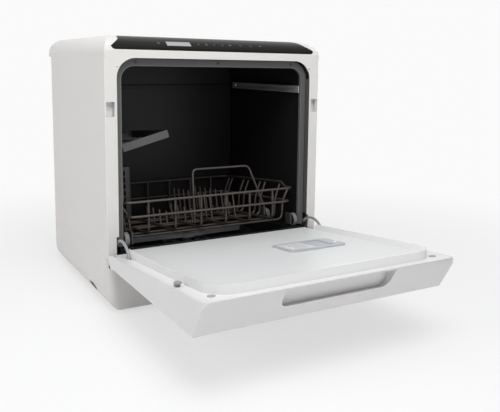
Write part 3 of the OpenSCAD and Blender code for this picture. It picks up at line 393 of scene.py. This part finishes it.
# One side of the upper rim, from the rack's front: low there, then up to its full height.
RIM_SIDE = (
    (RACK_S1, LOW_HEIGHT), (NOTCH_LOW_S, LOW_HEIGHT), (NOTCH_HIGH_S, RIM_HEIGHT), (RIM_S0, RIM_HEIGHT))
rim = [rack_point(RACK_HALF, s, h) for s, h in RIM_SIDE]
rim += [rack_point(-RACK_HALF, s, h) for s, h in reversed(RIM_SIDE)]
middle = [rack_point(x, s, MID_HEIGHT) for x, s in (
    (MID_HALF, RACK_S1), (MID_HALF, MID_S0), (-MID_HALF, MID_S0), (-MID_HALF, RACK_S1))]
wires("rack_rims", [ring(rim, RIM_BEND), ring(middle, MIDDLE_BEND)], WIRE_R, "rack_frame", closed=True)

CROSS_SHARES = (0.07, 0.125, 0.31, 0.385, 0.56, 0.63, 0.83, 0.93)
cross = []
for s in map(rack_share, CROSS_SHARES):
    top = (LOW_HEIGHT if s > LOW_WIRES_S else RIM_HEIGHT) - WELD
    cross.append(rounded([rack_point(x, s, h) for x, h in (
        (-RACK_HALF, top), (-CROSS_MID, MID_HEIGHT), (-FOOT_HALF, FLOOR_HEIGHT), (FOOT_HALF, FLOOR_HEIGHT),
        (CROSS_MID, MID_HEIGHT), (RACK_HALF, top))], BEND))
wires("cross_wires", cross, WIRE_R, "rack_cross_wires")

LONG_SPREAD = RACK_HALF - 44
LONG_LEAN = 4
long_x = [k * LONG_SPREAD / 5 for k in range(-5, 6, 2)]
wires("long_wires", [rounded([
    rack_point(x, RIM_S0 + WELD, RIM_HEIGHT), rack_point(x, FLOOR_S0 + WELD, LONG_HEIGHT),
    rack_point(x, RACK_S1 - WELD - LONG_LEAN, LONG_HEIGHT), rack_point(x, RACK_S1 - WELD, LOW_HEIGHT)], BEND)
    for x in long_x], WIRE_R, "rack_long_wires")

TINE_GAP = 0.1
TINE_TOP = 74
TINE_PITCH = 25
tine_foot = LONG_HEIGHT + WIRE_R + TINE_R + TINE_GAP
# Rows of tines: the long wires under them, the rack's share where they start, count, pitch, lean and top.
TINE_ROWS = (
    ((3, 4), 0.16, 8, TINE_PITCH, 9, TINE_TOP),
    ((1, 2), 0.5, 4, TINE_PITCH * 1.3, 5, TINE_TOP * 0.72),
)
tines = []
for carriers, start, count, pitch, lean, top in TINE_ROWS:
    for x in (long_x[i] for i in carriers):
        for s in (rack_share(start) + k * pitch for k in range(count)):
            tines.append([rack_point(x, s, tine_foot), rack_point(x, s - lean, top)])
wires("plate_tines", tines, TINE_R, "rack_tines")

HOOP_TOP = 126
HOOP_SHOULDER_X = 91
HOOP_ELBOW = 43.5
hoop_s = rack_share(0.87)
hoop_foot = tine_foot + FENCE_R - TINE_R
hoop = [rack_point(x, hoop_s, h) for x, h in (
    (long_x[2], hoop_foot), (long_x[2], HOOP_TOP), (HOOP_SHOULDER_X, HOOP_TOP), (long_x[5], HOOP_ELBOW),
    (long_x[5], hoop_foot))]
wires("plate_hoop", [rounded(hoop, HOOP_BEND)], FENCE_R, "rack_hoop")

FENCE_GAP = 0.4
FENCE_SHARES = (0.181, 0.442, 0.704, 0.875)
FENCE_TOP = 208
FIRST_HIGHER = 20
FENCE_FOOT = RIM_HEIGHT - 12
FENCE_PAST = 6
PAIR = 16
fence_x = -(RACK_HALF - WIRE_R - FENCE_R - FENCE_GAP)
fence = []
for i, s in enumerate(map(rack_share, FENCE_SHARES)):
    top = FENCE_TOP + (FIRST_HIGHER if i == 0 else 0)
    fence.append(rounded([rack_point(fence_x, *place) for place in (
        (s, FENCE_FOOT), (s, top), (s + PAIR, top), (s + PAIR, FENCE_FOOT))], FENCE_BEND))
fence.append([rack_point(fence_x, rack_share(FENCE_SHARES[0]) + PAIR, FENCE_TOP),
              rack_point(fence_x, rack_share(FENCE_SHARES[3]) + FENCE_PAST, FENCE_TOP)])
wires("shelf_fence", fence, FENCE_R, "shelf_supports")


# ---- Marks on the control strip ----
PROUD = 0.05 * MM
# A place in front of the cabinet, from which on_face looks back at it.
AHEAD_Y = -50


def on_face(node, x, z):
    """The point of a node's front at this x and z, a little proud of it, and the face's direction."""
    skin = BVHTree.FromPolygons([v.co for v in nodes[node].data.vertices],
                                [p.vertices for p in nodes[node].data.polygons])
    place, normal = skin.ray_cast(cab(x, AHEAD_Y, z), Vector((0, 1, 0)))[:2]
    return place + normal * PROUD, normal


def decal(name, node, x, z, outlines, finish):
    """Flat printed shapes on the front of a node; each outline is (across, up) points in mm."""
    place, normal = on_face(node, x, z)
    across = Vector((1, 0, 0))
    up = normal.cross(across).normalized()
    if up.z < 0:
        up.negate()
    shape = bmesh.new()
    for outline in outlines:
        shape.faces.new([shape.verts.new(place + across * a * MM + up * b * MM) for a, b in outline])
    mesh = bpy.data.meshes.new(name)
    shape.to_mesh(mesh)
    shape.free()
    mesh.materials.append(look[finish])
    piece = bpy.data.objects.new(name, mesh)
    scene.collection.objects.link(piece)
    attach(piece, nodes[node]["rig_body"])


STROKE = 0.4
ARC_SIDES = 20


def arc(radius, start=0.0, turn=1.0):
    """Quads that make a ring, or a part of one; start and turn are shares of a full turn."""
    inner = radius - STROKE
    outlines = []
    for k in range(round(ARC_SIDES * turn)):
        a, b = (2 * math.pi * (start + t / ARC_SIDES) for t in (k, k + 1))
        outlines.append([(r * math.cos(t), r * math.sin(t)) for r, t in (
            (radius, a), (radius, b), (inner, b), (inner, a))])
    return outlines


def bar(x0, y0, x1, y1):
    """A straight stroke between two corners."""
    return [[(x0, y0), (x1, y0), (x1, y1), (x0, y1)]]


# Each icon's place across the strip, and its outlines about that place.
ICONS = (
    (-111, arc(1.7, start=0.32, turn=0.86) + bar(-0.2, 0.4, 0.2, 2.2)),
    (-39, bar(-1.6, -1.2, 1.6, -0.8) + bar(-1.6, 0.8, 1.6, 1.2) + bar(-0.2, -1.2, 0.2, 1.2)),
    (-24, arc(1.5) + bar(-0.2, -0.1, 0.2, 1.0)),
    (-9, bar(-1.5, -0.2, 1.5, 0.2) + bar(-0.2, -1.5, 0.2, 1.5)),
    (6.5, arc(1.6, start=0.5, turn=0.5) + bar(-1.6, 0.4, 1.6, 0.8)),
    (21, bar(-1.5, -1.4, -0.9, 1.4) + bar(-0.3, -1.4, 0.3, 0.6) + bar(0.9, -1.4, 1.5, 1.4)),
    (43, arc(1.7, turn=0.75)),
    (62, bar(-1.6, -1.3, 1.6, -0.9) + arc(1.2, turn=0.5)),
    (82.5, [[(-1.1, -1.4), (1.4, 0.0), (-1.1, 1.4)]]),
)
ICON_Z = 448
ICON_SCALE = 1.35
for count, (x, outlines) in enumerate(ICONS, 1):
    drawn = [[(a * ICON_SCALE, b * ICON_SCALE) for a, b in outline] for outline in outlines]
    decal(f"icon_{count}", "control_panel", x, ICON_Z, drawn, "icon_paint")

# ---- Floor, light and camera ----
BACKGROUND = 0.956
# The floor's share of background grows from its least near the middle to all of it, in metres.
GLOW_LEAST = 0.62
GLOW_FROM = 0.25
GLOW_FULL = 1.3


def either_of(tree, *outputs):
    """A node that is 1 where any of the given 0 or 1 outputs is."""
    total = outputs[0]
    for other in outputs[1:]:
        joined = tree.nodes.new("ShaderNodeMath")
        joined.operation = "MAXIMUM"
        tree.links.new(total, joined.inputs[0])
        tree.links.new(other, joined.inputs[1])
        total = joined.outputs["Value"]
    return total


def seen_rays(tree):
    """1 for what the camera sees, also in a mirror or through glass, and 0 for the light that falls."""
    rays = tree.nodes.new("ShaderNodeLightPath")
    return either_of(tree, rays.outputs["Is Camera Ray"], rays.outputs["Is Glossy Ray"],
                     rays.outputs["Is Transmission Ray"])


def pale_floor():
    """White paper: it keeps a soft shadow near the machine and turns into the background further out."""
    material = surface("pale_floor", (0.85, 0.85, 0.85), 0.7, grain=200, depth=0.02, vary=0.005, specular=0.0)
    tree = material.node_tree
    paper = tree.nodes["Principled BSDF"]
    place = tree.nodes.new("ShaderNodeTexCoord")
    reach = tree.nodes.new("ShaderNodeVectorMath")
    reach.operation = "LENGTH"
    tree.links.new(place.outputs["Object"], reach.inputs[0])
    fade = add(tree, "ShaderNodeMapRange", From_Min=GLOW_FROM, From_Max=GLOW_FULL, To_Min=GLOW_LEAST,
               To_Max=1.0)
    fade.interpolation_type = "SMOOTHSTEP"
    tree.links.new(reach.outputs["Value"], fade.inputs["Value"])
    share = tree.nodes.new("ShaderNodeMath")
    share.operation = "MULTIPLY"
    tree.links.new(fade.outputs["Result"], share.inputs[0])
    tree.links.new(seen_rays(tree), share.inputs[1])
    glow = add(tree, "ShaderNodeEmission", Color=(1, 1, 1, 1), Strength=BACKGROUND)
    mix = tree.nodes.new("ShaderNodeMixShader")
    tree.links.new(share.outputs["Value"], mix.inputs[0])
    tree.links.new(paper.outputs["BSDF"], mix.inputs[1])
    tree.links.new(glow.outputs["Emission"], mix.inputs[2])
    tree.links.new(mix.outputs["Shader"], tree.nodes["Material Output"].inputs["Surface"])
    return material


FLOOR_HALF = 6
floor_corners = [(x * FLOOR_HALF, y * FLOOR_HALF, 0) for x, y in ((-1, -1), (1, -1), (1, 1), (-1, 1))]
floor_mesh = bpy.data.meshes.new("floor")
floor_mesh.from_pydata(floor_corners, [], [(0, 1, 2, 3)])
floor_mesh.materials.append(pale_floor())
floor = bpy.data.objects.new("floor", floor_mesh)
scene.collection.objects.link(floor)

world = bpy.data.worlds.new("studio")
scene.world = world
world.use_nodes = True
sky = world.node_tree
sky.nodes.clear()
ROOM_COLOUR = (0.96, 0.97, 1.0, 1.0)
ROOM_LIGHT = 0.36
dim = add(sky, "ShaderNodeBackground", Color=ROOM_COLOUR, Strength=ROOM_LIGHT)
bright = add(sky, "ShaderNodeBackground", Color=(1.0, 1.0, 1.0, 1.0), Strength=BACKGROUND)
pick = sky.nodes.new("ShaderNodeMixShader")
out = sky.nodes.new("ShaderNodeOutputWorld")
sky.links.new(seen_rays(sky), pick.inputs[0])
sky.links.new(dim.outputs["Background"], pick.inputs[1])
sky.links.new(bright.outputs["Background"], pick.inputs[2])
sky.links.new(pick.outputs["Shader"], out.inputs["Surface"])


def softbox(name, place, aim, size, power):
    """A rectangular lamp at a place, turned towards a point."""
    lamp = bpy.data.lights.new(name, "AREA")
    lamp.shape = "RECTANGLE"
    lamp.size, lamp.size_y = size
    lamp.energy = power
    holder = bpy.data.objects.new(name, lamp)
    scene.collection.objects.link(holder)
    holder.location = place
    holder.rotation_euler = (Vector(aim) - Vector(place)).to_track_quat("-Z", "Y").to_euler()


CENTRE = (0, -0.05, 0.22)
# Each lamp's place, the point that it lights, its width and height in metres, and its power in watts.
LAMPS = {
    "key": ((-0.3, -0.8, 1.3), (0, -0.05, 0.4), (0.9, 0.6), 13),
    "low_front": ((0.3, -1.7, 0.14), (0.1, -0.4, 0.1), (1.3, 0.24), 3.2),
    "overhead": ((0.1, -0.2, 2.1), CENTRE, (1.8, 1.6), 9),
    "side_fill": ((-2.0, 0.1, 0.9), CENTRE, (1.4, 1.2), 12),
}
for name, (place, aim, size, power) in LAMPS.items():
    softbox(name, place, aim, size, power)

CAMERA_PLACE = cab(-520.1, -1030.6, 412.3)
CAMERA_YAW = math.radians(30.89)
CAMERA_PITCH = math.radians(7.63)
CAMERA_ROLL = math.radians(0.87)
SENSOR_WIDTH = 36
FOCAL_LENGTH = 47.65
SHIFT_ACROSS = -0.0356
SHIFT_UP = -0.1013
NEAREST = 0.02
camera_data = bpy.data.cameras.new("camera")
camera = bpy.data.objects.new("camera", camera_data)
scene.collection.objects.link(camera)
scene.camera = camera
camera_data.sensor_width = SENSOR_WIDTH
camera_data.lens = FOCAL_LENGTH
camera_data.shift_x = SHIFT_ACROSS
camera_data.shift_y = SHIFT_UP
camera_data.clip_start = NEAREST
camera.location = CAMERA_PLACE
level = math.cos(CAMERA_PITCH)
look_along = Vector((math.sin(CAMERA_YAW) * level, math.cos(CAMERA_YAW) * level, -math.sin(CAMERA_PITCH)))
camera.rotation_mode = "QUATERNION"
camera.rotation_quaternion = look_along.to_track_quat("-Z", "Y") @ Quaternion((0, 0, 1), CAMERA_ROLL)

scene.view_settings.view_transform = "Standard"
